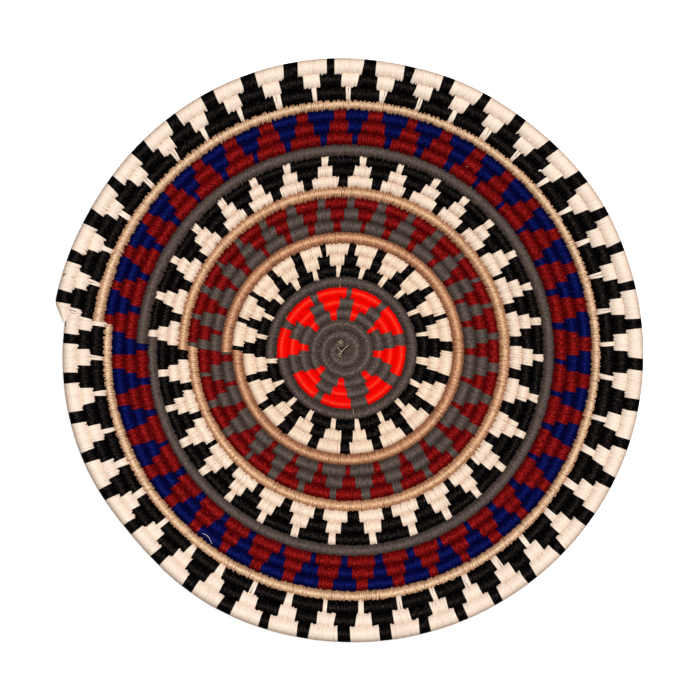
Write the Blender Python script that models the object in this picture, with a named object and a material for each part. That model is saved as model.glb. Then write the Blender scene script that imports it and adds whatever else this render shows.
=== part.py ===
"""Round tray of coiled basketry, as closed solids in metres, +Z up.

One long bundle of grass is wound from the middle outwards, flat at first and then climbing as a
low, wide wall. Twelve lengths of coloured yarn wrapping cover it end to end, and each changes to
the next along one seam. Every length of wrapping is a hollow tube round the grass. The tray is a
little wider on one side, as a hand-wound coil is.
"""

import math
from collections import namedtuple

import bmesh
import bpy
import numpy as np

Band = namedtuple("Band", "name rows row_share colour roughness")

# Colours of the yarns and the grass, as sRGB in hexadecimal
GREY = "544742"
BRIGHT_RED = "F01606"
BLACK = "0E0C0C"
CREAM = "ECDDCC"
TAN = "C09373"
DARK_RED = "840C0C"
BLUE = "0A0E6C"
GRASS = "B09462"

# Width of a usual row of the coil in plan, which gives the tray its size across
ROW_WIDTH = 0.00664

# Round the tray: angles in degrees, anticlockwise from +X seen from above
START_ANGLE = 67.5
SEAM_ANGLE = 180.0
SEAM_LEAD = 3.0
SEAM_DRIFT = 0.45
WIDE_ANGLE = 350.0
WIDE_SHARE = 0.024

# Across the tray
CENTRE_HOLE_RADIUS = 0.0008
BASE_RADIUS = 0.062
WALL_BEND_RADIUS = 0.15
WALL_ANGLE = math.radians(16.0)

# The coil and its wrapping
ROW_GAP = 0.0006
WRAP_WALL = 0.0007
WRAP_END = 0.0015
GRASS_CLEARANCE = 0.0003
SEAM_GAP = 0.0003
STANDING_FLAT = 0.0006
START_SHARE = 0.75
START_LENGTH = 0.003
TAIL_SHARE = 0.55
TAIL_LENGTH = 0.014

# How finely the coil is faceted
STATIONS = 24
COARSE_TURNS = 4
SPARE_TURNS = 2
SIX_SIDES = 1
FOUR_SIDES = 0
FLAT_OF_SIX = math.cos(math.radians(30.0))
FLAT_OF_FOUR = math.cos(math.radians(45.0))
CUT_PAST = 0.001

# The bands from the middle to the rim, each with its rows' share of the usual width
CENTRE_TURNS = 2 + (SEAM_ANGLE - START_ANGLE) / 360
BANDS = (
    Band("centre_grey_wrap", CENTRE_TURNS, 0.97, GREY, 0.85),
    Band("bright_red_band_wrap", 3, 1.0, BRIGHT_RED, 0.6),
    Band("inner_grey_ring_wrap", 1, 1.0, GREY, 0.85),
    Band("inner_black_band_wrap", 3, 1.0, BLACK, 0.55),
    Band("inner_tan_ring_wrap", 1, 1.0, TAN, 0.8),
    Band("dark_red_band_wrap", 3, 1.05, DARK_RED, 0.8),
    Band("middle_tan_ring_wrap", 1, 0.93, TAN, 0.8),
    Band("middle_cream_band_wrap", 3, 0.97, CREAM, 0.7),
    Band("outer_grey_ring_wrap", 1, 0.91, GREY, 0.85),
    Band("blue_band_wrap", 3, 1.07, BLUE, 0.75),
    Band("outer_tan_ring_wrap", 1, 0.97, TAN, 0.8),
    Band("rim_black_band_wrap", 3, 1.17, BLACK, 0.55),
)
BAND_STARTS = np.cumsum([0] + [band.rows for band in BANDS])


def seam_turn(rows):
    """Turns from the coil's start to the colour seam that closes so many rows."""
    return rows + (SEAM_LEAD - SEAM_DRIFT * (rows - CENTRE_TURNS)) / 360


END_TURN = seam_turn(BAND_STARTS[-1])


def edge_radius(turns):
    """Mean radius of the line between one row and the next, so many turns from the start."""
    steps = [band.rows * band.row_share for band in BANDS]
    knots = np.append(BAND_STARTS, BAND_STARTS[-1] + SPARE_TURNS)
    widths = np.cumsum([0] + steps + [SPARE_TURNS * BANDS[-1].row_share])
    return np.interp(turns, knots, CENTRE_HOLE_RADIUS + ROW_WIDTH * widths)


def wall_rise(radius):
    """Height of the wall over the base: an arc that eases into a straight slope."""
    bend_width = WALL_BEND_RADIUS * math.sin(WALL_ANGLE)
    bent = np.clip(radius - BASE_RADIUS, 0, bend_width)
    straight = np.maximum(radius - BASE_RADIUS - bend_width, 0)
    arc = WALL_BEND_RADIUS - np.sqrt(WALL_BEND_RADIUS**2 - bent**2)
    return arc + straight * math.tan(WALL_ANGLE)


def wall_lean(radius):
    """Angle of the wall's slope at a mean radius."""
    bend_width = WALL_BEND_RADIUS * math.sin(WALL_ANGLE)
    return np.arcsin(np.clip(radius - BASE_RADIUS, 0, bend_width) / WALL_BEND_RADIUS)


def coil_angle(turns):
    return np.radians(START_ANGLE) + 2 * np.pi * np.asarray(turns)


def coil_stations():
    """Turn counts at which the coil is faceted: few in the tight middle, and in line outside it."""
    past_end = math.ceil(END_TURN * STATIONS) + SPARE_TURNS
    counts = range(past_end)
    return np.array([n / STATIONS for n in counts if n >= COARSE_TURNS * STATIONS or n % 2 == 0])


def coil_table():
    """One row a station: turns, x, y, z, half width and lean of the covered coil."""
    turns = coil_stations()
    angle = coil_angle(turns)
    mean_radius = (edge_radius(turns) + edge_radius(turns + 1)) / 2
    lean = wall_lean(mean_radius)
    widening = 1 + WIDE_SHARE * np.cos(angle - math.radians(WIDE_ANGLE))
    plan_width = (edge_radius(turns + 1) - edge_radius(turns)) * widening
    facet = np.where(turns < COARSE_TURNS, 2 * np.pi / STATIONS, np.pi / STATIONS)
    outward_drift = np.arctan(plan_width / (2 * np.pi * mean_radius))
    square_width = plan_width * np.cos(facet) * np.cos(outward_drift) / np.cos(lean)
    half = (square_width - ROW_GAP) / 2
    radius = mean_radius * widening
    height = half - STANDING_FLAT + wall_rise(mean_radius)
    return np.column_stack([turns, radius * np.cos(angle), radius * np.sin(angle), height, half, lean])


COIL = coil_table()


def turn_share(turns, length):
    """Share of a turn that a length along the coil takes, at so many turns from the start."""
    radius = (edge_radius(turns) + edge_radius(turns + 1)) / 2
    return length / (2 * np.pi * radius)


TAIL_TURN = END_TURN - turn_share(END_TURN, TAIL_LENGTH)
START_DONE_TURN = turn_share(0, START_LENGTH)


def coil_at(turns):
    """Centre, half width and lean of the coil, on the straight facets between its stations."""
    x, y, z, half, lean = (np.interp(turns, COIL[:, 0], column) for column in COIL[:, 1:].T)
    ends = [0, START_DONE_TURN, TAIL_TURN, END_TURN]
    thinned = half * np.interp(turns, ends, [START_SHARE, 1, 1, TAIL_SHARE])
    inward = np.where(turns > TAIL_TURN, half - thinned, 0)
    angle = coil_angle(turns)
    return x - inward * np.cos(angle), y - inward * np.sin(angle), z, thinned, lean


def bore_half(half):
    """Half width of the four-sided bore that leaves the wrapping its wall."""
    return half * FLAT_OF_SIX - WRAP_WALL


def grass_half(half):
    return bore_half(half) - GRASS_CLEARANCE / FLAT_OF_FOUR


def stretch(first, last):
    """The coil's stations from one turn count to another, with its ends and the tail's start."""
    shortest = turn_share(last, CUT_PAST)
    inside = np.append(COIL[:, 0], [START_DONE_TURN, TAIL_TURN])
    inside = inside[(inside > first + turn_share(first, CUT_PAST)) & (inside < last - shortest)]
    return np.sort(np.concatenate([[first], inside, [last]]))


def tray_middle():
    """Middle of the tray in plan, from the outermost points of its coil."""
    x, y, _, half, _ = coil_at(stretch(0, END_TURN))
    angle = coil_angle(stretch(0, END_TURN))
    outer_x = x + half * np.cos(angle)
    outer_y = y + half * np.sin(angle)
    return (outer_x.min() + outer_x.max()) / 2, (outer_y.min() + outer_y.max()) / 2


MIDDLE_X, MIDDLE_Y = tray_middle()


def srgb(colour):
    """Linear RGBA of a colour in hexadecimal."""
    shares = [value / 255 for value in bytes.fromhex(colour)]
    return [s / 12.92 if s <= 0.04045 else ((s + 0.055) / 1.055) ** 2.4 for s in shares] + [1]


def yarn_material(name, colour, roughness):
    material = bpy.data.materials.new(name)
    material.use_nodes = True
    shader = material.node_tree.nodes["Principled BSDF"]
    shader.inputs["Base Color"].default_value = srgb(colour)
    shader.inputs["Roughness"].default_value = roughness
    shader.inputs["Metallic"].default_value = 0.0
    material.diffuse_color = srgb(colour)
    return material


def tube(name, turns, half, sides, collection):
    """A curve object along the coil, with filled ends, of the half width given at each point."""
    x, y, z, _, lean = coil_at(turns)
    curve = bpy.data.curves.new(name, "CURVE")
    curve.dimensions = "3D"
    curve.twist_mode = "Z_UP"
    curve.bevel_depth = half.max()
    curve.bevel_resolution = sides
    curve.use_fill_caps = True
    spline = curve.splines.new("POLY")
    spline.points.add(len(turns) - 1)
    for i, point in enumerate(spline.points):
        point.co = (x[i] - MIDDLE_X, y[i] - MIDDLE_Y, z[i], 1)
        point.radius = half[i] / half.max()
        point.tilt = lean[i]
    obj = bpy.data.objects.new(name, curve)
    collection.objects.link(obj)
    return obj


def closed_mesh(curve_object):
    """Mesh object in the curve's place, with its end caps welded on."""
    graph = bpy.context.evaluated_depsgraph_get()
    mesh = bpy.data.meshes.new_from_object(curve_object.evaluated_get(graph))
    shape = bmesh.new()
    shape.from_mesh(mesh)
    bmesh.ops.remove_doubles(shape, verts=shape.verts, dist=1e-6)
    bmesh.ops.recalc_face_normals(shape, faces=shape.faces)
    shape.to_mesh(mesh)
    shape.free()
    name = curve_object.name
    collection = curve_object.users_collection[0]
    placed = curve_object.matrix_world.copy()
    bpy.data.objects.remove(curve_object)
    obj = bpy.data.objects.new(name, mesh)
    obj.matrix_world = placed
    collection.objects.link(obj)
    return obj


def as_cutter(obj):
    obj.hide_render = True
    obj.display_type = "WIRE"
    return obj


def cut(obj, cutter):
    modifier = obj.modifiers.new(cutter.name, "BOOLEAN")
    modifier.operation = "DIFFERENCE"
    modifier.solver = "EXACT"
    modifier.object = cutter


def floor_cutter(collection):
    """Block under the tray, whose top face is the surface that the tray stands on."""
    across = 4 * edge_radius(END_TURN + 1)
    deep = 10 * STANDING_FLAT
    mesh = bpy.data.meshes.new("floor_cutter")
    shape = bmesh.new()
    bmesh.ops.create_cube(shape, size=1)
    bmesh.ops.scale(shape, vec=(across, across, deep), verts=shape.verts)
    bmesh.ops.translate(shape, vec=(0, 0, -deep / 2), verts=shape.verts)
    shape.to_mesh(mesh)
    shape.free()
    obj = bpy.data.objects.new("floor_cutter", mesh)
    collection.objects.link(obj)
    return as_cutter(obj)


def lowest_point(turns):
    _, _, z, half, _ = coil_at(turns)
    return (z - half * FLAT_OF_SIX).min()


def wrap(index, band, floor, tray, cutters):
    """One length of yarn wrapping: a six-sided tube, bored for the grass, open at its seams."""
    is_first = index == 0
    is_last = index == len(BANDS) - 1
    first = 0.0 if is_first else seam_turn(BAND_STARTS[index])
    last = seam_turn(BAND_STARTS[index + 1])
    outer_first = first if is_first else first + turn_share(first, SEAM_GAP / 2)
    outer_last = last if is_last else last - turn_share(last, SEAM_GAP / 2)
    bore_first = first + turn_share(first, WRAP_END if is_first else -CUT_PAST)
    bore_last = last - turn_share(last, WRAP_END if is_last else -CUT_PAST)

    turns = stretch(outer_first, outer_last)
    half = coil_at(turns)[3]
    obj = closed_mesh(tube(band.name, turns, half, SIX_SIDES, tray))
    bore_turns = stretch(bore_first, bore_last)
    bore = tube(band.name + "_bore", bore_turns, bore_half(coil_at(bore_turns)[3]), FOUR_SIDES, cutters)
    cut(obj, as_cutter(closed_mesh(bore)))
    if lowest_point(turns) < 0:
        cut(obj, floor)
    obj.data.materials.append(yarn_material(band.name, band.colour, band.roughness))
    if band.rows > 1:
        report_gap(band.name, outer_first, outer_last, half_of=lambda half: half)
    return obj


def foundation(tray):
    """The grass inside the wrapping: one unbroken four-sided bundle from the middle to the tail."""
    cover = WRAP_END + GRASS_CLEARANCE
    first = turn_share(0, cover)
    last = END_TURN - turn_share(END_TURN, cover)
    turns = stretch(first, last)
    obj = tube("grass_foundation", turns, grass_half(coil_at(turns)[3]), FOUR_SIDES, tray)
    obj.data.materials.append(yarn_material("grass_foundation", GRASS, 0.9))
    report_gap("grass_foundation", first, last, half_of=grass_half)
    return obj


def report_gap(name, first, last, half_of):
    """Prints the least clear distance from one turn of a tube to its next, on points along it."""
    a_turn = 4 * STATIONS
    turns = np.arange(first, last, 1 / a_turn)
    x, y, z, half, _ = coil_at(turns)
    centres = np.column_stack([x, y, z])
    half = half_of(half)
    least = math.inf
    for ahead in range(a_turn // 2, min(3 * a_turn // 2, len(turns))):
        apart = np.linalg.norm(centres[ahead:] - centres[:-ahead], axis=1)
        least = min(least, (apart - half[ahead:] - half[:-ahead]).min())
    if least < math.inf:
        print(f"{name}: least gap from turn to turn {1000 * least:.2f} mm")


def new_collection(name):
    collection = bpy.data.collections.new(name)
    bpy.context.scene.collection.children.link(collection)
    return collection


def main():
    for obj in list(bpy.data.objects):
        bpy.data.objects.remove(obj, do_unlink=True)
    tray = new_collection("round_coiled_tray")
    cutters = new_collection("cutters")
    floor = floor_cutter(cutters)
    foundation(tray)
    for index, band in enumerate(BANDS):
        wrap(index, band, floor, tray, cutters)


main()
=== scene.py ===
"""Looks of a round tray of coiled basketry, sewn in coloured yarn over a bundle of grass.

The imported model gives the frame, in metres, +Z up. One coil runs from the middle to the rim. Its
row widths and its slopes are the ones that its solids have. Each yarn of each band is one piece,
made of separate stitches that lean, stand up as ribs and bite into the row inside them.
"""

import math
from collections import namedtuple

import bmesh
import bpy
import numpy as np
from mathutils import Matrix, Vector


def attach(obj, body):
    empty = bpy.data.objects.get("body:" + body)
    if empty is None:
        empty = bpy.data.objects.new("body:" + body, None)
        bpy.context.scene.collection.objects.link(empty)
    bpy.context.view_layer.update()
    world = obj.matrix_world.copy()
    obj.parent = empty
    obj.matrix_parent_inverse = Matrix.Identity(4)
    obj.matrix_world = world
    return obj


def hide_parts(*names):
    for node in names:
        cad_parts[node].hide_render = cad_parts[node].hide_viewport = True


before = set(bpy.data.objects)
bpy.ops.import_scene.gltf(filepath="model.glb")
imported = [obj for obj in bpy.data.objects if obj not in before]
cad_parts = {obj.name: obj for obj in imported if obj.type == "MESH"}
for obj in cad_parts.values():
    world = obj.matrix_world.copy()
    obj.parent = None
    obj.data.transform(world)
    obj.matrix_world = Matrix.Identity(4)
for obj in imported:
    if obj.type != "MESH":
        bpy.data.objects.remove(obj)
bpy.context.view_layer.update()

MM = 0.001
WELD_DISTANCE = 1e-6
SEED = 7

# The coil, as its solids have it
ROW_WIDTH = 6.64 * MM
START_ANGLE = 67.5
SEAM_ANGLE = 180.0
SEAM_LEAD = 3.0
SEAM_DRIFT = 0.45
WIDE_ANGLE = 350.0
WIDE_SHARE = 0.024
CENTRE_HOLE_RADIUS = 0.8 * MM
BASE_RADIUS = 62 * MM
WALL_BEND_RADIUS = 150 * MM
WALL_ANGLE = math.radians(16.0)
WALL_BEND_WIDTH = WALL_BEND_RADIUS * math.sin(WALL_ANGLE)
STANDING_FLAT = 0.6 * MM
SPARE_ROWS = 2

# Where the middle of the tray lies from the middle of its coil, as its solids have it
MIDDLE_X = 3.99 * MM
MIDDLE_Y = 1.05 * MM

# How far the hand-wound rows stray outwards at some radii: evenly, to one side, and in an oval
STRAY_RADII = np.array([0, 16, 29, 42, 69, 96, 122, 149, 170]) * MM
EVEN_STRAY = np.array([0, -0.5, -1.1, -1.2, -0.7, 0.0, 0.3, -0.7, -1.2]) * MM
SIDE_STRAY = np.array([0, 1.0, 1.1, 1.0, 0.8, 0.8, 1.3, 1.1, 1.1]) * MM
SIDE_ANGLE = np.radians([15, 15, 28, 42, 21, 21, -27, -40, -30])
OVAL_STRAY = np.array([0, 0.1, 0.25, 0.45, 0.7, 0.85, 0.65, 0.7, 0.7]) * MM
OVAL_ANGLE = np.radians([-20, -20, -20, -14, -6, -26, -35, -20, -20])

# The rim's dents, below zero, and its swells: each at an angle, so many degrees wide and so many
# millimetres high. From the rim inwards they fade out, down to a radius.
RIM_SWELLS = (
    (222.0, 9.0, -1.9), (150.0, 13.0, -1.2), (78.0, 6.0, -0.6), (52.0, 8.0, -0.7),
    (102.0, 14.0, 0.7), (195.0, 12.0, 0.4), (245.0, 12.0, 0.4), (338.0, 14.0, 0.5),
    (29.0, 5.0, 0.5),
)
SWELLS_FROM = 150 * MM

# How much the blue band spreads and squeezes the tan ring outside it, evenly and to one side, and
# in what part of a turn it stops doing so
SPREAD = 0.5 * MM
SIDE_SPREAD = 0.6 * MM
SPREAD_ANGLE = 60.0
SPREAD_STOPS_IN = 0.06

# How far past the smooth seam each colour change lies, in degrees, from the middle outwards
SEAM_STRAYS = (0, 0, 4.5, 4.6, -0.5, 1.0, 0.1, 1.8, -0.7, 1.9, -1.2, -1.0, 0)

# The coil's outer end, where it thins towards a point that would lie a little beyond it
WORN_SHARE = 0.05
WORN_LENGTH = 14 * MM
WORN_BEYOND = 0.25 * WORN_LENGTH
TAIL_RUNS_ON = 4 * MM

# The coil's inner end, in turns: yarn fills the middle up to here, but for a small hole
MIDDLE_FILLED = 0.98
MIDDLE_FILL_FADES = 0.05
MIDDLE_LEFT_OPEN = 0.15 * MM

# A row in section: how square it is, and how tall for its width
OUTER_SQUARENESS = 2.0
INNER_SQUARENESS = 2.3
UNDER_SQUARENESS = 2.2
HEIGHT_SHARE = 0.97
TOP_SIDES = 10
UNDER_SIDES = 6
SIDES = TOP_SIDES + UNDER_SIDES

# Degrees round a row from its outer side: in close steps over its top, in wide ones under it
SECTION = np.append(
    np.linspace(0, 180, TOP_SIDES + 1), np.linspace(180, 360, UNDER_SIDES + 1)[1:])

# Where round a row, in those degrees, a stitch bites inwards, and how deep before it shows, in mm
BITE_STARTS = 92
BITE_FULL = 150
UNDER_BITE_ENDS = 265
BITE_HIDDEN = 0.6

# Along a stitch: groove, flank, crest, flank
STEP_PLACES = np.array([0.0, 0.22, 0.5, 0.78])
STEP_RISE = np.array([-1.0, 0.25, 0.5, 0.25])
LONG_TOOTH_STEPS = np.array([-0.45, 0.4, 0.6, 0.4])
SHORT_TOOTH_STEPS = np.array([-0.55, -0.45, -0.35, -0.45])
STITCH_STEPS = len(STEP_PLACES)
SIDEWAYS_RISE = 0.5

# How unevenly the stitches are sewn: their pitch, in shares of it, their bite and rise, in mm, and
# their lean, as a slope that fades towards the coil's middle
PITCH_JITTER = 0.13
PITCH_JITTER_MOST = 0.3
BITE_JITTER = 0.25
RISE_JITTER = 0.03
LEAN = 0.06
LEAN_JITTER = 0.07
LEAN_FADES_WITHIN = 3 * MM

# How deep the grooves between stitches go, in shares of their ribs' height
GROOVE_LEAST, GROOVE_MOST = 0.3, 1.5

# On which side the stitches bite more unevenly, and by what share
ROUGH_ANGLE = math.radians(120.0)
ROUGH_SHARE = 0.35

# How many stitches lie from one that bites deep to the next, and how often
LONG_STEPS = (1, 2, 3)
LONG_STEP_CHANCES = (0.3, 0.5, 0.2)

# How unevenly the figures are laid out: in pitches of theirs, in stitches, and the pitches by which
# a stitch may lie outside its figure
FIGURE_JITTER = 0.015
COUNT_JITTER = 0.2
FIGURE_SLACK = 0.06

# A band's stepped figures: the angles of the first and the last, their number, the share of each
# row that they fill, how many degrees a row's figures lie before those of the row inside it, and
# how far the figures stray, in degrees, at even steps from the first to the last
Motif = namedtuple("Motif", "first last count shares lean strays")

# A band: its rows, their share of a usual row's width, and its stitches' pitch and bite in mm
Band = namedtuple("Band", "name node rows row_share pitch bite yarns motif", defaults=[None])

# A yarn: how high its ribs stand, how deep its teeth bite and how much thicker it is, in mm
Yarn = namedtuple("Yarn", "slot rib tooth swell")

YARNS = {
    "core_grey": Yarn("grey_yarn", rib=0.08, tooth=0.8, swell=0.00),
    "deep_grey": Yarn("grey_yarn", rib=0.10, tooth=1.2, swell=0.00),
    "grey": Yarn("grey_yarn", rib=0.10, tooth=0.7, swell=0.00),
    "bright_red": Yarn("bright_red_yarn", rib=0.12, tooth=1.0, swell=0.05),
    "black": Yarn("black_yarn", rib=0.14, tooth=1.0, swell=-0.05),
    "warm_cream": Yarn("cream_yarn", rib=0.09, tooth=1.1, swell=0.08),
    "cream": Yarn("cream_yarn", rib=0.09, tooth=1.1, swell=0.08),
    "pale_cream": Yarn("cream_yarn", rib=0.08, tooth=1.0, swell=0.08),
    "warm_tan": Yarn("tan_yarn", rib=0.16, tooth=0.8, swell=0.05),
    "tan": Yarn("tan_yarn", rib=0.16, tooth=0.8, swell=0.05),
    "pale_tan": Yarn("tan_yarn", rib=0.16, tooth=0.6, swell=0.05),
    "dark_red": Yarn("dark_red_yarn", rib=0.15, tooth=1.0, swell=0.00),
    "blue": Yarn("blue_yarn", rib=0.15, tooth=1.0, swell=0.00),
}

CENTRE_TURNS = 2 + (SEAM_ANGLE - START_ANGLE) / 360
BANDS = (
    Band("centre", "centre_grey_wrap", CENTRE_TURNS, 0.97, 1.3, 0.5, ["core_grey"]),
    Band("bright_red_band", "bright_red_band_wrap", 3, 1.0, 1.4, 0.7, ["grey", "bright_red"],
         Motif(221, 534, 9, (0.25, 0.525, 0.77), 1.8,
               (0.7, 5.7, 12.9, 16.0, 15.0, 14.4, 12.7, 6.7, 2.8, 0.9, -0.4))),
    Band("inner_grey_ring", "inner_grey_ring_wrap", 1, 1.0, 1.35, 1.1, ["deep_grey"]),
    Band("inner_black_band", "inner_black_band_wrap", 3, 1.0, 1.42, 0.9, ["black", "warm_cream"],
         Motif(187.2, 532.5, 21, (0.22, 0.55, 0.74), 0.2,
               (0.2, 2.6, 7.2, 10.0, 10.1, 12.2, 8.8, 6.7, 5.1, 1.6, -2.1))),
    Band("inner_tan_ring", "inner_tan_ring_wrap", 1, 1.0, 1.4, 0.3, ["warm_tan"]),
    Band("dark_red_band", "dark_red_band_wrap", 3, 1.05, 1.4, 0.7, ["grey", "dark_red"],
         Motif(182.7, 534, 30, (0.22, 0.50, 0.77), -0.05,
               (0.2, 2.7, 4.3, 7.6, 7.4, 8.0, 3.9, 3.6, 2.1, 1.3, -2.4))),
    Band("middle_tan_ring", "middle_tan_ring_wrap", 1, 0.93, 1.4, 0.4, ["tan"]),
    Band("middle_cream_band", "middle_cream_band_wrap", 3, 0.97, 1.45, 0.7, ["black", "cream"],
         Motif(187.6, 534.5, 32, (0.75, 0.445, 0.20), 0.1,
               (-0.4, 0.2, 1.0, 3.9, 2.4, 2.9, 0.5, -2.1, -0.7, -0.9, -0.2))),
    Band("outer_grey_ring", "outer_grey_ring_wrap", 1, 0.91, 1.35, 0.7, ["grey"]),
    Band("blue_band", "blue_band_wrap", 3, 1.07, 1.4, 1.2, ["dark_red", "blue"],
         Motif(178.1, 529.8, 40, (0.18, 0.43, 0.67), 0.2,
               (0.2, 2.8, 2.4, 2.5, 0.2, -1.0, -0.9, -2.0, -2.8, -1.2, -1.6))),
    Band("outer_tan_ring", "outer_tan_ring_wrap", 1, 0.97, 1.5, 0.15, ["pale_tan"]),
    Band("rim_band", "rim_black_band_wrap", 3, 1.17, 1.45, 1.25, ["black", "pale_cream"],
         Motif(172.3, 533.4, 45, (0.155, 0.425, 0.72), 0.0,
               (0.8, 1.8, 3.6, 4.0, 2.1, 1.0, -1.8, -2.1, -3.5, -1.6, -0.2))),
)
BAND_STARTS = np.cumsum([0] + [band.rows for band in BANDS])
BAND_BITES = np.array([band.bite for band in BANDS]) * MM + BITE_HIDDEN * MM
BLUE_BAND = [band.name for band in BANDS].index("blue_band")
RIM_BAND = len(BANDS) - 1


def seam_turn(rows):
    """Turns from the coil's start to the colour seam that closes so many rows."""
    stray = np.interp(rows, BAND_STARTS, SEAM_STRAYS)
    return rows + (SEAM_LEAD - SEAM_DRIFT * (rows - CENTRE_TURNS) + stray) / 360


def coil_angle(turns):
    return np.radians(START_ANGLE) + 2 * np.pi * np.asarray(turns)


def edge_radius(turns):
    """Mean radius of the line between one row and the next, also for rows past the coil's end."""
    knots = np.append(BAND_STARTS, BAND_STARTS[-1] + SPARE_ROWS)
    widths = [band.rows * band.row_share for band in BANDS] + [SPARE_ROWS * BANDS[-1].row_share]
    return np.interp(turns, knots, CENTRE_HOLE_RADIUS + ROW_WIDTH * np.cumsum([0] + widths))


SEAM_END = seam_turn(BAND_STARTS[-1])
END_TURN = SEAM_END + TAIL_RUNS_ON / (2 * np.pi * edge_radius(SEAM_END))


def wall_rise(radius):
    """Height of the wall over the base: an arc that eases into a straight slope."""
    bent = np.clip(radius - BASE_RADIUS, 0, WALL_BEND_WIDTH)
    straight = np.maximum(radius - BASE_RADIUS - WALL_BEND_WIDTH, 0)
    arc = WALL_BEND_RADIUS - np.sqrt(WALL_BEND_RADIUS**2 - bent**2)
    return arc + straight * math.tan(WALL_ANGLE)


def wall_lean(radius):
    return np.arcsin(np.clip(radius - BASE_RADIUS, 0, WALL_BEND_WIDTH) / WALL_BEND_RADIUS)


def smooth_step(value, low, high):
    share = np.clip((value - low) / (high - low), 0, 1)
    return share * share * (3 - 2 * share)


def widening(angle):
    """How much wider than its mean the tray is towards one side."""
    return 1 + WIDE_SHARE * np.cos(angle - math.radians(WIDE_ANGLE))


def hand_wander(angle, mean_radius):
    """How far a hand-wound row strays outwards from its smooth line."""
    even, side, side_angle, oval, oval_angle = (
        np.interp(mean_radius, STRAY_RADII, stray)
        for stray in (EVEN_STRAY, SIDE_STRAY, SIDE_ANGLE, OVAL_STRAY, OVAL_ANGLE))
    stray = even + side * np.cos(angle - side_angle) + oval * np.cos(2 * (angle - oval_angle))
    near_rim = smooth_step(mean_radius, SWELLS_FROM, STRAY_RADII[-1])
    for middle, spread, swell in RIM_SWELLS:
        from_middle = (np.degrees(angle) - middle + 180) % 360 - 180
        stray = stray + near_rim * (swell * MM) * np.exp(-((from_middle / spread) ** 2) / 2)
    return stray


def band_spread(turns):
    """How far the blue band's rows, and the inner side of the ring round it, lie outwards."""
    first, last = (seam_turn(BAND_STARTS[BLUE_BAND + k]) for k in (0, 1))
    pushed = np.clip((turns - first) / (last - first), 0, 1)
    pushed = pushed * smooth_step(last + 1 - turns, 0, SPREAD_STOPS_IN)
    return pushed * (SPREAD + SIDE_SPREAD * np.cos(coil_angle(turns) - math.radians(SPREAD_ANGLE)))


def edge_line(turns):
    """Radius of the line between one row and the next, as it was wound by hand."""
    angle, mean_radius = coil_angle(turns), edge_radius(turns)
    return mean_radius * widening(angle) + hand_wander(angle, mean_radius) + band_spread(turns)


def tail_thinning(turns):
    """Share of its full width that the coil keeps as it runs out at the tail."""
    left = (END_TURN - turns) * 2 * np.pi * edge_radius(END_TURN)
    return WORN_SHARE + (1 - WORN_SHARE) * smooth_step(left, -WORN_BEYOND, WORN_LENGTH)


def coil_at(turns):
    """Radius, height, half width and lean of the coil's middle line."""
    turns = np.asarray(turns)
    inner, outer = edge_line(turns), edge_line(turns + 1)
    mean_radius = (edge_radius(turns) + edge_radius(turns + 1)) / 2
    lean = wall_lean(mean_radius)
    full_half = (outer - inner) / np.cos(lean) / 2
    half = full_half * tail_thinning(turns)
    radius = (inner + outer) / 2 - (full_half - half)
    height = full_half * HEIGHT_SHARE - STANDING_FLAT + wall_rise(mean_radius)
    return radius, height, half, lean


def length_table(places=40000):
    """Turns and the length of coil wound so far, at close places along it."""
    turns = np.linspace(0, END_TURN, places)
    radius = coil_at(turns)[0]
    steps = np.diff(turns) * 2 * np.pi * (radius[1:] + radius[:-1]) / 2
    return turns, np.append(0, np.cumsum(steps))


TABLE_TURNS, TABLE_LENGTHS = length_table()
END_LENGTH = TABLE_LENGTHS[-1]


def length_at(turns):
    return np.interp(turns, TABLE_TURNS, TABLE_LENGTHS)


def turns_at(length):
    return np.interp(length, TABLE_LENGTHS, TABLE_TURNS)


def stitch_edges(chance):
    """Lengths along the coil at which one stitch ends and the next begins, band by band."""
    edges, bands = [0.0], []
    for index, band in enumerate(BANDS):
        last = END_LENGTH if index == RIM_BAND else length_at(seam_turn(BAND_STARTS[index + 1]))
        pitch = band.pitch * MM
        count = round((last - edges[-1]) / pitch)
        even = np.linspace(edges[-1], last, count + 1)[1:]
        jitter = chance.normal(0, PITCH_JITTER, count - 1)
        even[:-1] += jitter.clip(-PITCH_JITTER_MOST, PITCH_JITTER_MOST) * pitch
        edges.extend(even)
        bands.extend([index] * count)
    return np.array(edges), np.array(bands)


def is_figure(band, start, middles, chance):
    """Which of a patterned band's stitches have the figure's yarn, row by row."""
    turns, motif = turns_at(middles), band.motif
    rows = np.zeros(len(turns), int)
    for row in (1, 2):
        rows[turns > seam_turn(start + row)] = row
    angle = SEAM_ANGLE + 360 * (turns - start - rows)
    even, pitch = np.linspace(motif.first, motif.last, motif.count, retstep=True)
    strays = np.interp(even, np.linspace(motif.first, motif.last, len(motif.strays)), motif.strays)
    figure = np.zeros(len(turns), bool)
    for row, share in enumerate(motif.shares):
        in_row = rows == row
        to_one_pitch = in_row.sum() * pitch / 360
        jitter = chance.normal(0, FIGURE_JITTER * pitch, motif.count)
        for middle in even + strays + motif.lean * (1 - row) + jitter:
            off = np.where(in_row, np.abs(angle - middle), np.inf)
            stitches = round(share * to_one_pitch + chance.normal(0, COUNT_JITTER))
            nearest = np.argsort(off)[:stitches]
            figure[nearest[off[nearest] < (share / 2 + FIGURE_SLACK) * pitch]] = True
    return figure


def sewn_coil():
    """Every stitch of the tray: its two edges along the coil, its band and its yarn."""
    chance = np.random.default_rng(SEED)
    edges, bands = stitch_edges(chance)
    middles = (edges[1:] + edges[:-1]) / 2
    yarns = np.array([BANDS[index].yarns[0] for index in bands], dtype=object)
    for index, band in enumerate(BANDS):
        if band.motif:
            here = np.flatnonzero(bands == index)
            figure = is_figure(band, BAND_STARTS[index], middles[here], chance)
            yarns[here[figure]] = band.yarns[1]
    return edges, bands, yarns


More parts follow.
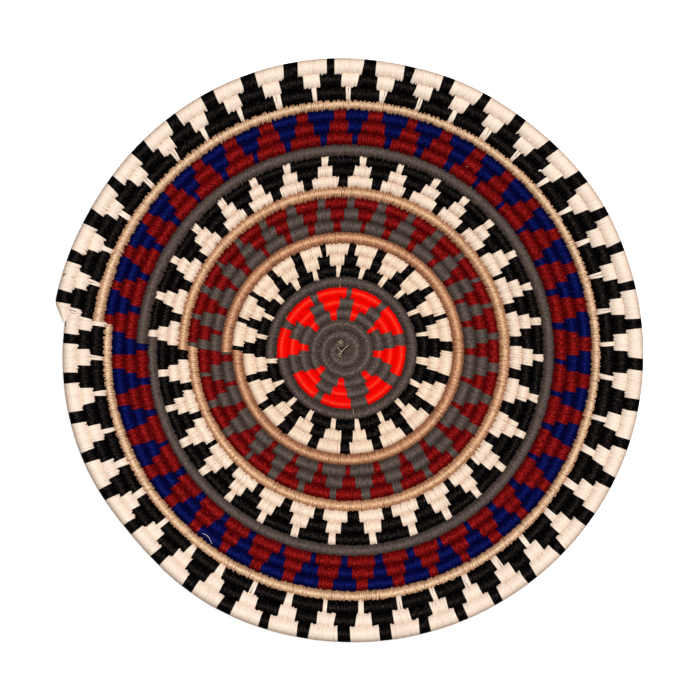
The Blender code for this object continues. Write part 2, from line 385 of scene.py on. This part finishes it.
EDGES, STITCH_BANDS, STITCH_YARNS = sewn_coil()
STITCHES = len(STITCH_BANDS)
OUTERMOST_FROM = int(np.searchsorted(EDGES, length_at(END_TURN - 1)))
HAND = np.random.default_rng(SEED + 1)


def uneven(spread):
    """A draw for each edge between two stitches, never over twice its usual spread."""
    return HAND.normal(0, spread, STITCHES + 1).clip(-2 * spread, 2 * spread)


STITCH_BITE = uneven(BITE_JITTER) * MM
STITCH_RISE = uneven(RISE_JITTER) * MM
STITCH_GROOVE = HAND.uniform(GROOVE_LEAST, GROOVE_MOST, STITCHES + 1)
STITCH_LEAN = LEAN + uneven(LEAN_JITTER)
BITES_DEEP = np.isin(np.arange(STITCHES + 1),
                     np.cumsum(HAND.choice(LONG_STEPS, STITCHES, p=LONG_STEP_CHANCES)))


def rounded_power(value, squareness):
    return np.sign(value) * np.abs(value) ** (2 / squareness)


def row_section(degrees, half):
    """Across and up on a row's section before its stitches bite."""
    cos, sin = np.cos(np.radians(degrees)), np.sin(np.radians(degrees))
    over = np.where(cos > 0, OUTER_SQUARENESS, INNER_SQUARENESS)
    squareness = np.where(sin < 0, UNDER_SQUARENESS, over)
    up = half * HEIGHT_SHARE * rounded_power(sin, squareness)
    return half * rounded_power(cos, squareness), up


def bite_weight(degrees):
    over = smooth_step(degrees, BITE_STARTS, BITE_FULL)
    under = 1 - smooth_step(degrees, 180, UNDER_BITE_ENDS)
    return np.where(degrees > 180, under, over)


def bite_depth(stitch, part, turns, yarn):
    """How deep each stitch bites into the row inside it, as a tooth of its own."""
    tooth = yarn.tooth * MM * (1 + ROUGH_SHARE * np.cos(coil_angle(turns) - ROUGH_ANGLE))
    steps = np.where(BITES_DEEP[stitch], LONG_TOOTH_STEPS[part], SHORT_TOOTH_STEPS[part])
    band = STITCH_BANDS[np.minimum(stitch, STITCHES - 1)]
    return BAND_BITES[band] + STITCH_BITE[stitch] + steps * tooth


def round_coil(turns, angle, across, up):
    """Places that lie so far across and up from the coil's middle line, leaning with the wall."""
    radius, height, _, lean = coil_at(turns)
    out = across * np.cos(lean) - up * np.sin(lean)
    rise = across * np.sin(lean) + up * np.cos(lean)
    x = (radius + out) * np.cos(angle) - MIDDLE_X
    y = (radius + out) * np.sin(angle) - MIDDLE_Y
    return np.column_stack([x, y, np.maximum(height + rise, 0)])


def stitched_surface(steps, sides, yarn):
    """Points of the sewn coil. A step counts quarter stitches along it, a side goes round it."""
    steps, sides = np.rint(steps).astype(int), np.rint(sides).astype(int)
    stitch, part = np.divmod(steps, STITCH_STEPS)
    edge = EDGES[stitch]
    length = edge + (EDGES[np.minimum(stitch + 1, STITCHES)] - edge) * STEP_PLACES[part]
    turns = turns_at(length)
    radius, _, half, _ = coil_at(turns)
    degrees = SECTION[sides]

    step_rise = STEP_RISE[part] * np.where(part == 0, STITCH_GROOVE[stitch], 1)
    rise = step_rise * yarn.rib * MM + yarn.swell * MM + STITCH_RISE[stitch]
    across, up = row_section(degrees, half)
    across += rise * np.cos(np.radians(degrees)) * SIDEWAYS_RISE
    up += rise * np.sin(np.radians(degrees))
    depth = bite_depth(stitch, part, turns, yarn)
    to_middle = radius - half - MIDDLE_LEFT_OPEN
    in_middle = 1 - smooth_step(turns, MIDDLE_FILLED, MIDDLE_FILLED + MIDDLE_FILL_FADES)
    depth += (to_middle - depth) * in_middle
    across -= depth * bite_weight(degrees)
    lean = STITCH_LEAN[stitch] * across / np.maximum(radius, LEAN_FADES_WITHIN)
    return round_coil(turns, coil_angle(turns) - lean, across, up)


def runs_of(chosen):
    """First stitch and stitch count of each unbroken run of chosen stitches."""
    marks = np.flatnonzero(np.diff(np.concatenate([[0], chosen.astype(int), [0]])))
    return [(first, after - first) for first, after in zip(marks[::2], marks[1::2])]


def in_scene(name, data):
    thing = bpy.data.objects.new(name, data)
    bpy.context.scene.collection.objects.link(thing)
    return thing


def mesh_from(shape, name):
    mesh = bpy.data.meshes.new(name)
    shape.to_mesh(mesh)
    shape.free()
    return mesh


def points_of(mesh):
    points = np.empty(len(mesh.vertices) * 3)
    mesh.vertices.foreach_get("co", points)
    return points.reshape(-1, 3)


def add_grid(shape, first, steps, sides):
    """A flat grid of unit squares, to be laid round the coil: steps along it, sides round it."""
    middle = Matrix.Translation((first + steps / 2, sides / 2, 0))
    bmesh.ops.create_grid(shape, x_segments=steps, y_segments=sides, size=0.5,
                          matrix=middle @ Matrix.Diagonal((steps, sides, 1, 1)))


def sewn_piece(name, chosen, yarn):
    """One yarn of one band: a ribbed, closed sleeve for each unbroken run of its stitches."""
    shape = bmesh.new()
    for first, count in runs_of(chosen):
        add_grid(shape, int(first) * STITCH_STEPS, int(count) * STITCH_STEPS, SIDES)
    mesh = mesh_from(shape, name)
    keep_stitch_numbers(mesh)
    steps, sides = points_of(mesh)[:, :2].T
    mesh.vertices.foreach_set("co", stitched_surface(steps, sides, yarn).ravel())
    close_and_smooth(mesh)
    return in_scene(name, mesh)


def keep_stitch_numbers(mesh):
    """Keeps a flat grid's stitch numbers, and the share round the row, as the piece's own map."""
    corners = np.empty(len(mesh.loops), int)
    mesh.loops.foreach_get("vertex_index", corners)
    steps, sides = points_of(mesh)[:, :2].T
    round_share = SECTION[np.rint(sides).astype(int)] / 360
    stitch_map = np.column_stack([steps / STITCH_STEPS, round_share])[corners]
    mesh.uv_layers.new(name="stitches").data.foreach_set("uv", stitch_map.ravel())


def close_and_smooth(mesh):
    """Welds the grids into sleeves, fills their ends and turns every face outwards."""
    shape = bmesh.new()
    shape.from_mesh(mesh)
    bmesh.ops.remove_doubles(shape, verts=shape.verts, dist=WELD_DISTANCE)
    bmesh.ops.holes_fill(shape, edges=[edge for edge in shape.edges if edge.is_boundary])
    bmesh.ops.recalc_face_normals(shape, faces=shape.faces)
    for face in shape.faces:
        face.smooth = True
    shape.to_mesh(mesh)
    shape.free()


class Value:
    """A socket in a finish, on which sums are written as Python sums."""

    def __init__(self, finish, socket):
        self.finish, self.socket = finish, socket

    def maths(self, operation, first, second=None, clamp=False):
        inputs = {0: first} if second is None else {0: first, 1: second}
        return self.finish.node("ShaderNodeMath", inputs, operation=operation, use_clamp=clamp)

    def __add__(self, other):
        return self.maths("ADD", self, other)

    def __sub__(self, other):
        return self.maths("SUBTRACT", self, other)

    def __rsub__(self, other):
        return self.maths("SUBTRACT", other, self)

    def __mul__(self, other):
        return self.maths("MULTIPLY", self, other)

    def __pow__(self, other):
        return self.maths("POWER", self, other)

    __radd__, __rmul__ = __add__, __mul__

    def whole(self):
        return self.maths("FLOOR", self)

    def part(self):
        return self.maths("FRACT", self)

    def size(self):
        return self.maths("ABSOLUTE", self)

    def sine(self):
        return self.maths("SINE", self)

    def cosine(self):
        return self.maths("COSINE", self)

    def held(self):
        """Held between 0 and 1."""
        return self.maths("ADD", self, 0, clamp=True)

    def at_least(self, least):
        return self.maths("MAXIMUM", self, least)

    def stepped(self, low, high):
        """Eases from 0 to 1 between two values."""
        inputs = {"Value": self, "From Min": low, "From Max": high}
        return self.finish.node("ShaderNodeMapRange", inputs, interpolation_type="SMOOTHSTEP")


class Finish:
    """One material, with a method that adds any node and returns one of its outputs."""

    def __init__(self, name):
        self.material = bpy.data.materials.new(name)
        self.material.use_nodes = True
        self.tree = self.material.node_tree
        self.shader = self.tree.nodes["Principled BSDF"]

    def feed(self, socket, value):
        if isinstance(value, Value):
            self.tree.links.new(value.socket, socket)
        else:
            socket.default_value = value

    def node(self, kind, inputs=(), output=0, **settings):
        made = self.tree.nodes.new(kind)
        for name, setting in settings.items():
            setattr(made, name, setting)
        for key, value in dict(inputs).items():
            self.feed(made.inputs[key], value)
        return Value(self, made.outputs[output])

    def mix(self, factor, first, second):
        inputs = {0: factor, 6: first, 7: second}
        return self.node("ShaderNodeMix", inputs, output=2, data_type="RGBA")

    def noise(self, vector, scale, detail=2.0, rough=0.5):
        inputs = {"Vector": vector, "Scale": scale, "Detail": detail, "Roughness": rough}
        return self.node("ShaderNodeTexNoise", inputs)

    def brighter(self, colour, factor):
        inputs = {0: colour[:3], "Scale": factor}
        return self.node("ShaderNodeVectorMath", inputs, operation="SCALE")

    def chance(self, number):
        """A steady random share for each whole number."""
        return self.node("ShaderNodeTexWhiteNoise", {"W": number}, noise_dimensions="1D")

    def object_place(self):
        return self.node("ShaderNodeTexCoord", output="Object")

    def place(self, x, y):
        return self.node("ShaderNodeCombineXYZ", {0: x, 1: y})

    def bump(self, height, distance, strength):
        inputs = {"Height": height, "Distance": distance, "Strength": strength}
        return self.node("ShaderNodeBump", inputs)

    def surface(self, **values):
        for name, value in values.items():
            self.feed(self.shader.inputs[name.replace("_", " ")], value)


def linear(red, green, blue):
    """Linear RGBA of an sRGB colour from 0 to 255."""
    shares = [value / 255 for value in (red, green, blue)]
    return [s / 12.92 if s <= 0.04045 else ((s + 0.055) / 1.055) ** 2.4 for s in shares] + [1.0]


# A dye: the yarn's colour; the colour of its pale hairs and of the painted highlight, and how much
# the hairs show; how bright and how narrow the painted highlight along a row's crest is; the
# colour of painted shade, how much of it is painted between stitches and how much in the creases
# between rows; how much stitches differ, how flecked they are, gloss, roughness and fuzz
Dye = namedtuple(
    "Dye",
    "colour hair hair_share glint narrow valley valley_share crease tone fleck gloss rough fuzz")

DYES = {
    "core_grey": Dye((76, 63, 57), (150, 134, 122), 0.22, 0.35, 60,
                     (42, 35, 32), 0.3, 0.06, 0.12, 1.2, 0.1, 0.9, 1.0),
    "deep_grey": Dye((77, 63, 57), (134, 120, 112), 0.24, 0.25, 14,
                     (28, 22, 20), 0.5, 0.55, 0.2, 1.2, 0.1, 0.9, 1.0),
    "grey": Dye((80, 66, 60), (138, 124, 116), 0.22, 0.25, 14,
                (38, 31, 28), 0.5, 0.4, 0.2, 1.0, 0.1, 0.9, 1.0),
    "bright_red": Dye((250, 5, 0), (255, 90, 58), 0.02, 0.5, 60,
                      (185, 3, 1), 0.25, 0.25, 0.06, 0.3, 0.02, 0.6, 0.8),
    "black": Dye((6, 4, 3), (108, 94, 90), 0.2, 0.08, 30,
                 (1, 1, 1), 0.6, 0.7, 0.4, 3.2, 0.012, 0.6, 0.9),
    "warm_cream": Dye((250, 222, 194), (255, 240, 220), 0.3, 0.2, 30,
                      (150, 104, 78), 0.5, 0.18, 0.05, 0.36, 0.1, 0.6, 0.5),
    "cream": Dye((253, 227, 203), (255, 243, 226), 0.3, 0.2, 30,
                 (146, 102, 78), 0.56, 0.2, 0.05, 0.5, 0.1, 0.6, 0.5),
    "pale_cream": Dye((253, 230, 209), (255, 246, 232), 0.3, 0.2, 30,
                      (156, 116, 94), 0.24, 0.12, 0.05, 0.26, 0.1, 0.6, 0.5),
    "warm_tan": Dye((193, 130, 93), (252, 206, 162), 0.3, 0.5, 30,
                    (84, 44, 26), 0.7, 0.55, 0.14, 0.9, 0.1, 0.7, 0.8),
    "tan": Dye((209, 151, 111), (255, 220, 177), 0.3, 0.6, 30,
               (96, 54, 32), 0.7, 0.5, 0.14, 1.1, 0.1, 0.7, 0.9),
    "pale_tan": Dye((219, 170, 130), (255, 230, 194), 0.3, 0.6, 30,
                    (100, 58, 36), 0.7, 0.5, 0.16, 1.1, 0.1, 0.7, 0.9),
    "dark_red": Dye((117, 4, 6), (200, 52, 46), 0.27, 0.2, 20,
                    (44, 1, 2), 0.7, 0.5, 0.2, 2.5, 0.04, 0.85, 1.0),
    "blue": Dye((3, 5, 67), (40, 58, 150), 0.24, 0.15, 20,
                (1, 1, 22), 0.6, 0.6, 0.22, 2.1, 0.03, 0.85, 1.0),
}

# Patches to a stitch, and to a whole way round a row
STREAKS_ALONG, STREAKS_ROUND = 2.1, 11.0
FIBRES_ALONG, FIBRES_ROUND = 6.0, 34.0
PATCH_ROUGH = 0.6

# Patches to a metre
HAIRS = 1000.0
HAIRS_ROUGH = 0.7
DYEING = 40.0
GRASS_STREAKS = 900.0
THREAD_FIBRES = 1500.0

# How much of a dye's flecks each kind of patch makes, and how far the light and dark may go
STREAKS_FLECK = 1.6
HAIRS_FLECK = 1.2
FIBRES_FLECK = 0.8
DYEING_TONE = 0.2
DARKEST = 0.15

# Pale hairs: what they are made of, and where they begin and are full; and where streaks break
# the painted highlight along a row's crest
PALE_FROM_HAIRS = 0.55
PALE_FROM_STREAKS = 0.45
PALE_HAIRS = (0.52, 0.62)
CREST_STREAKS = (0.3, 0.55)

# Painted shade in the valleys between two stitches: how sharp it is, and how much it differs from
# the next
VALLEY_SHARPNESS = 4.0
VALLEY_CONTRAST = 3.0
VALLEY_MOST = 1.7
VALLEY_LEAST = 0.08
VALLEY_DRAW = 0.37

# Painted shade on a row's sides towards the creases between rows, and painted shade on the
# outermost row's outer side
CREASE = (0.05, 0.75)
RIM_SHADE_SPAN = (0.6, 0.98)
RIM_SHADE = 0.35

# How streaks, fibres and hairs stand out, and how much the roughness changes
RELIEF_SHARES = (0.5, 0.3, 0.4)
RELIEF_DEPTH = 0.25 * MM
RELIEF_STRENGTH = 0.8
ROUGH_CHANGE = 0.3

# The bare grass, and the loose threads: how dark their fibres are at least, and how much they vary
GRASS_DARK, GRASS_PALE = (176, 142, 104), (240, 212, 178)
GRASS_DETAIL = 3.0
GRASS_RELIEF = 0.05 * MM
THREAD_DARKEST = 0.6
THREAD_CHANGE = 0.8


def yarn_finish(name, dye):
    """Plied yarn laid side by side, with a painted highlight along a row's crest, and painted shade
    in the creases between rows and in the valleys between stitches.
    """
    finish = Finish(name + "_yarn")
    stitches = finish.node("ShaderNodeUVMap", uv_map="stitches")
    split = finish.node("ShaderNodeSeparateXYZ", {0: stitches}).socket.node
    along, around = (Value(finish, split.outputs[axis]) for axis in (0, 1))
    streaks, fibres = (
        finish.noise(finish.place(along * in_stitch, around * in_round), 1.0, rough=PATCH_ROUGH)
        for in_stitch, in_round in ((STREAKS_ALONG, STREAKS_ROUND), (FIBRES_ALONG, FIBRES_ROUND)))
    place = finish.object_place()
    hairs = finish.noise(place, HAIRS, rough=HAIRS_ROUGH)
    dyeing = finish.noise(place, DYEING)

    shade = (
        (finish.chance(along.whole()) - 0.5) * dye.tone
        + (streaks - 0.5) * (dye.fleck * STREAKS_FLECK)
        + (hairs - 0.5) * (dye.fleck * HAIRS_FLECK)
        + (fibres - 0.5) * (dye.fleck * FIBRES_FLECK)
        + (dyeing - 0.5) * DYEING_TONE
        + 1.0
    )
    coloured = finish.brighter(linear(*dye.colour), shade.at_least(DARKEST))

    pale = hairs * PALE_FROM_HAIRS + streaks * PALE_FROM_STREAKS
    turned = around * (2 * math.pi)
    # Painted highlight: a narrow lighter line along each row's crest, broken by streaks, in the
    # pale hairs' colour
    shine = turned.sine().held() ** dye.narrow
    crest = shine * streaks.stepped(*CREST_STREAKS) * dye.glint
    pale_hairs_and_highlight = (pale.stepped(*PALE_HAIRS) * dye.hair_share + crest).held()
    coloured = finish.mix(pale_hairs_and_highlight, coloured, linear(*dye.hair))

    # Painted shade: darker in the valleys between stitches, by a random amount at each
    groove = finish.chance((along + 0.5).whole() + VALLEY_DRAW)
    depth = groove**VALLEY_CONTRAST * VALLEY_MOST + VALLEY_LEAST
    valley = ((along.part() - 0.5).size() * 2.0) ** VALLEY_SHARPNESS * depth
    coloured = finish.mix((valley * dye.valley_share).held(), coloured, linear(*dye.valley))

    # Painted shade: darker down a row's sides towards the creases between rows, and on the outer
    # side of the outermost row
    outward = turned.cosine()
    outermost = along.stepped(OUTERMOST_FROM, OUTERMOST_FROM + 1)
    rim_painted_shade = outermost * outward.stepped(*RIM_SHADE_SPAN) * RIM_SHADE
    crease = outward.size().stepped(*CREASE) * dye.crease
    coloured = finish.mix((crease + rim_painted_shade).held(), coloured, linear(*dye.valley))

    of_streaks, of_fibres, of_hairs = RELIEF_SHARES
    relief = streaks * of_streaks + fibres * of_fibres + hairs * of_hairs
    finish.surface(
        Base_Color=coloured,
        Roughness=((fibres - 0.5) * ROUGH_CHANGE + dye.rough).held(),
        Specular_IOR_Level=dye.gloss,
        Normal=finish.bump(relief, RELIEF_DEPTH * dye.fuzz, RELIEF_STRENGTH),
    )
    return finish.material


def grass_finish():
    finish = Finish("dry_grass")
    streaks = finish.noise(finish.object_place(), GRASS_STREAKS, GRASS_DETAIL)
    coloured = finish.mix(streaks, linear(*GRASS_DARK), linear(*GRASS_PALE))
    relief = finish.bump(streaks, GRASS_RELIEF, strength=0.5)
    finish.surface(Base_Color=coloured, Roughness=0.6, Normal=relief)
    return finish.material


def thread_finish(name, colour):
    finish = Finish(name)
    fibres = finish.noise(finish.object_place(), THREAD_FIBRES)
    shade = finish.brighter(linear(*colour), fibres * THREAD_CHANGE + THREAD_DARKEST)
    finish.surface(Base_Color=shade, Roughness=0.8, Specular_IOR_Level=0.1)
    return finish.material


def lay(piece, material, node):
    piece.data.materials.append(material)
    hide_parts(node)
    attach(piece, "root")


def sew_bands():
    """Makes every yarn of every band, and lets it stand for its band's solid."""
    finishes = {name: yarn_finish(name, dye) for name, dye in DYES.items()}
    for index, band in enumerate(BANDS):
        for yarn_name in band.yarns:
            chosen = (STITCH_BANDS == index) & (STITCH_YARNS == yarn_name)
            piece = sewn_piece(f"{band.name}_{yarn_name}_stitches", chosen, YARNS[yarn_name])
            lay(piece, finishes[yarn_name], band.node)


# The grass inside the coil
BUNDLE_SHARE = 0.62
BUNDLE_STEP = 3 * MM
BUNDLE_SIDES = 10
BUNDLE_COVER = 2.5 * MM
BUNDLE_RIDGE = 0.08
BUNDLE_RIDGES = 5
BUNDLE_TWISTS = 14.0


def grass_bundle():
    """The foundation: one twisted bundle along the middle of the coil, hidden by the yarn."""
    shape = bmesh.new()
    whole_length = END_LENGTH - 2 * BUNDLE_COVER
    steps = round(whole_length / BUNDLE_STEP)
    add_grid(shape, 0, steps, BUNDLE_SIDES)
    mesh = mesh_from(shape, "grass_bundle")
    along, around = points_of(mesh)[:, :2].T
    turns = turns_at(BUNDLE_COVER + along / steps * whole_length)
    turned = np.rint(around) / BUNDLE_SIDES * 2 * np.pi
    ridge = 1 + BUNDLE_RIDGE * np.cos(BUNDLE_RIDGES * turned + BUNDLE_TWISTS * turns)
    bundle = coil_at(turns)[2] * BUNDLE_SHARE * ridge
    across, up = bundle * np.cos(turned), bundle * np.sin(turned) * HEIGHT_SHARE
    mesh.vertices.foreach_set("co", round_coil(turns, coil_angle(turns), across, up).ravel())
    close_and_smooth(mesh)
    return in_scene("grass_bundle", mesh)


# How thick a strand is at its ends, for its thickness
STRAND_END = 0.6


def strand(points, thickness):
    """The mesh of one bit of straw or yarn through some points."""
    curve = bpy.data.curves.new("strand", "CURVE")
    curve.dimensions = "3D"
    curve.bevel_depth = thickness / 2
    curve.bevel_resolution = 1
    curve.use_fill_caps = True
    curve.resolution_u = 6
    spline = curve.splines.new("NURBS")
    spline.points.add(len(points) - 1)
    spline.use_endpoint_u = True
    spline.order_u = 3
    for i, (point, place) in enumerate(zip(spline.points, points)):
        point.co = (*place, 1)
        point.radius = STRAND_END if i in (0, len(points) - 1) else 1.0
    bit = in_scene("strand", curve)
    graph = bpy.context.evaluated_depsgraph_get()
    mesh = bpy.data.meshes.new_from_object(bit.evaluated_get(graph))
    bpy.data.objects.remove(bit)
    return mesh


def joined(name, meshes):
    shape = bmesh.new()
    for mesh in meshes:
        shape.from_mesh(mesh)
    whole = mesh_from(shape, name)
    close_and_smooth(whole)
    return in_scene(name, whole)


# How far from the coil's middle straws bridge its hole, how high, and a height over all, in mm
MIDDLE_BRIDGED = 2.4
MIDDLE_TOP = 6.0
OVER_ALL = 100.0


def from_coil_middle(x, y, z):
    """A place given in millimetres from the coil's middle, across the photographed top."""
    return Vector((x * MM - MIDDLE_X, y * MM - MIDDLE_Y, z * MM))


def laid_on_top(x, y, lift):
    """A place on the tray's top, or over the coil's hole, so many mm from the coil's middle."""
    graph = bpy.context.evaluated_depsgraph_get()
    above, down = from_coil_middle(x, y, OVER_ALL), Vector((0, 0, -1))
    met, place = bpy.context.scene.ray_cast(graph, above, down)[:2]
    if math.hypot(x, y) < MIDDLE_BRIDGED:
        place = from_coil_middle(x, y, MIDDLE_TOP)
    elif not met:
        raise ValueError(f"No yarn lies under {x}, {y}")
    return place + Vector((0, 0, lift * MM))


# Straws that stick out at the coil's middle, in millimetres from it, and how thick they are
MIDDLE_STRAWS = (
    (((4.4, 3.6), (2.1, 2.0), (0.1, -0.2), (-0.7, -1.4)), 0.45),
    (((-2.2, 2.4), (-1.2, 1.3), (-0.1, -0.1)), 0.50),
    (((-2.8, -2.7), (-1.5, -1.8), (-0.3, -1.2)), 0.50),
    (((-1.2, -1.3), (0.0, -1.5)), 0.80),
    (((-1.3, -3.4), (-0.5, -2.4)), 0.60),
    (((0.0, -3.4), (0.5, -4.3)), 0.35),
    (((-2.7, -5.3), (-1.6, -4.4)), 0.30),
    (((-2.1, 5.5), (-1.2, 5.9), (-0.9, 6.4), (-0.3, 6.6), (0.4, 6.3), (0.6, 5.7), (0.3, 5.1),
      (-0.3, 4.9), (-0.9, 5.1), (-1.2, 5.7)), 0.40),
)

# Painted shadow beside the middle straws, and dark gaps between the coil's first stitches, laid as
# thin dark strands
MIDDLE_SHADOWS_AND_GAPS = (
    (((5.3, 3.6), (3.1, 1.7), (1.4, 0.2)), 0.6),
    (((-3.4, -0.8), (-2.6, 0.1), (-2.9, 1.4)), 0.5),
    (((1.1, -0.6), (2.4, -1.7)), 0.7),
    (((-1.0, 2.1), (0.2, 1.0), (1.5, 2.3)), 0.6),
    (((-2.1, -3.3), (-0.4, -4.7)), 0.5),
    (((0.7, -2.5), (1.3, -4.4)), 0.5),
)

# Ends of grass and yarn that lie loose on the rows
GRASS_ENDS = (
    (((-0.7, 38.4), (-0.7, 41.4)), 0.4),
    (((7.0, -34.8), (7.6, -38.0)), 0.4),
    (((-24.2, -2.0), (-25.6, -2.6)), 0.4),
    (((16.5, 36.8), (17.7, 37.8)), 0.4),
    (((11.7, 38.1), (10.9, 39.1)), 0.4),
    (((74.8, 110.7), (75.8, 111.1)), 0.5),
    (((-32.9, 19.9), (-33.1, 21.1)), 0.4),
    (((3.5, -22.8), (4.9, -22.4)), 0.4),
    (((-169.2, 26.4), (-167.8, 26.6)), 0.3),
)
RIM_BLACK_ENDS = (
    (((-164.4, 46.4), (-165.6, 46.5), (-165.9, 45.0)), 0.8),
    (((-161.0, 44.8), (-159.4, 44.1)), 0.4),
    (((-163.0, 24.9), (-161.2, 24.6), (-159.4, 24.1), (-158.0, 23.5)), 0.35),
    (((-161.8, 23.3), (-160.4, 23.0), (-158.8, 22.4)), 0.35),
    (((-164.6, 18.4), (-165.1, 18.0), (-165.1, 16.6), (-164.9, 15.2)), 0.6),
)
RIM_CREAM_ENDS = (
    (((118.1, 107.8), (118.9, 108.9), (119.8, 108.3)), 1.1),
    (((-83.4, -109.0), (-81.0, -109.9), (-78.9, -111.9), (-77.4, -115.5)), 0.25),
)
BAND_GREY_ENDS = (
    (((9.6, 24.2), (10.6, 25.9), (11.7, 27.5)), 0.5),
    (((12.3, 26.6), (13.4, 28.4)), 0.5),
    (((0.8, -19.3), (0.9, -20.1)), 0.9),
    (((-29.6, -12.8), (-28.7, -12.8), (-27.8, -12.8)), 0.8),
    (((-29.2, -14.7), (-28.5, -15.1)), 0.6),
)

# How far over the top of the rows a strand's middle line lies, in millimetres
CLEAR = 0.25
STRAW_CLEAR = 0.35
SHADOW_AND_GAP_CLEAR = 0.12


def loose_ends(name, ends, lift=CLEAR):
    """Short strands laid on the rows, by default clear of the ribs under them."""
    return joined(name, [
        strand([laid_on_top(x, y, lift) for x, y in points], thickness * MM)
        for points, thickness in ends])


# How many of the rim figures' stems have strands that part, and the dark slit between those
PARTED_SHARE = 0.4
SLIT_SIDES = (1, 2, 3, 4, 5, 6)
SLIT_WIDTH = 0.42 * MM


def parted_stems(name):
    """Dark slits on the rim's innermost row, where the strands of a cream stem part."""
    chance = np.random.default_rng(SEED + 2)
    in_row = EDGES[:-1] < length_at(seam_turn(BAND_STARTS[RIM_BAND] + 1))
    stems = runs_of((STITCH_BANDS == RIM_BAND) & (STITCH_YARNS == "pale_cream") & in_row)
    slits = []
    for first, count in stems:
        if count > 1:
            groove = first + chance.integers(1, count)
            if chance.random() < PARTED_SHARE:
                steps = np.full(len(SLIT_SIDES), groove * STITCH_STEPS)
                line = stitched_surface(steps, SLIT_SIDES, YARNS["pale_cream"])
                slits.append(strand(line, SLIT_WIDTH))
    return joined(name, slits)


THREADS = {
    "black": (14, 11, 10), "cream": (255, 244, 228), "grey": (56, 34, 30),
    "shadow_and_gap_dark": (15, 11, 10),
}


def lay_loose_parts():
    """The grass in the coil, and the ends of grass and yarn that show on top."""
    rim, centre, red_band = "rim_black_band_wrap", "centre_grey_wrap", "bright_red_band_wrap"
    black, cream, grey, dark = (
        thread_finish(f"loose_{name}_thread", colour) for name, colour in THREADS.items())
    lay(loose_ends("rim_band_black_ends", RIM_BLACK_ENDS, STRAW_CLEAR), black, rim)
    lay(parted_stems("rim_band_dark_slits"), black, rim)
    lay(loose_ends("rim_band_cream_ends", RIM_CREAM_ENDS), cream, rim)
    lay(loose_ends("bright_red_band_grey_ends", BAND_GREY_ENDS), grey, red_band)
    # Dark strands: painted shadow beside the middle straws, and gaps between the first stitches
    lay(loose_ends("centre_painted_shadows_and_gaps", MIDDLE_SHADOWS_AND_GAPS, SHADOW_AND_GAP_CLEAR), dark, centre)
    grass = grass_finish()
    lay(grass_bundle(), grass, "grass_foundation")
    straws = loose_ends("grass_ends", MIDDLE_STRAWS + GRASS_ENDS, STRAW_CLEAR)
    lay(straws, grass, "grass_foundation")


# The studio
FLOOR_ACROSS = 6.0
FLOOR_DROP = 0.1 * MM
FLOOR_GREY = 236
FLOOR_GLOW = 0.88
LAMP_PLACE = (0.5, 0.55, 3.0)
LAMP_ACROSS = 0.9
LAMP_WATTS = 88
SKY_STRENGTH = 0.15

# The camera, and how wide the picture is at the height of the tray's rim
CAMERA_PLACE = (1.28 * MM, -0.17 * MM, 3.0)
CAMERA_SEES_TO = 20
SENSOR = 36.0
SEEN_WIDTH = 0.4187
SEEN_HEIGHT = 0.030


def seen_by_eye(finish):
    """One where the camera looks, straight or by way of gloss or glass."""
    rays = finish.node("ShaderNodeLightPath", output="Is Camera Ray").socket.node
    camera, glossy, clear = (Value(finish, rays.outputs[name]) for name in
                             ("Is Camera Ray", "Is Glossy Ray", "Is Transmission Ray"))
    return (camera + glossy + clear).held()


def floor():
    shape = bmesh.new()
    bmesh.ops.create_grid(shape, x_segments=1, y_segments=1, size=FLOOR_ACROSS / 2)
    bmesh.ops.translate(shape, vec=(0, 0, -FLOOR_DROP), verts=shape.verts)
    mesh = mesh_from(shape, "studio_floor")
    finish = Finish("pale_floor")
    glow = finish.mix(seen_by_eye(finish), (0, 0, 0, 1), (1, 1, 1, 1))
    grey = linear(FLOOR_GREY, FLOOR_GREY, FLOOR_GREY)
    finish.surface(Base_Color=grey, Roughness=0.9, Specular_IOR_Level=0.0,
                   Emission_Color=glow, Emission_Strength=FLOOR_GLOW)
    mesh.materials.append(finish.material)
    in_scene("studio_floor", mesh)


def studio_light():
    light = bpy.data.lights.new("key_lamp", "AREA")
    light.shape = "DISK"
    light.size = LAMP_ACROSS
    light.energy = LAMP_WATTS
    lamp = in_scene("key_lamp", light)
    lamp.location = LAMP_PLACE
    lamp.rotation_euler = (-Vector(LAMP_PLACE)).to_track_quat("-Z", "Y").to_euler()

    world = bpy.data.worlds.new("studio")
    world.use_nodes = True
    background = world.node_tree.nodes["Background"]
    background.inputs["Color"].default_value = (1, 1, 1, 1)
    background.inputs["Strength"].default_value = SKY_STRENGTH
    bpy.context.scene.world = world


def camera():
    lens = bpy.data.cameras.new("camera")
    lens.type = "PERSP"
    lens.sensor_width = SENSOR
    lens.lens = SENSOR * (CAMERA_PLACE[2] - SEEN_HEIGHT) / SEEN_WIDTH
    lens.clip_end = CAMERA_SEES_TO
    eye = in_scene("camera", lens)
    eye.location = CAMERA_PLACE
    bpy.context.scene.camera = eye


sew_bands()
lay_loose_parts()
floor()
studio_light()
camera()
bpy.context.scene.view_settings.view_transform = "Standard"
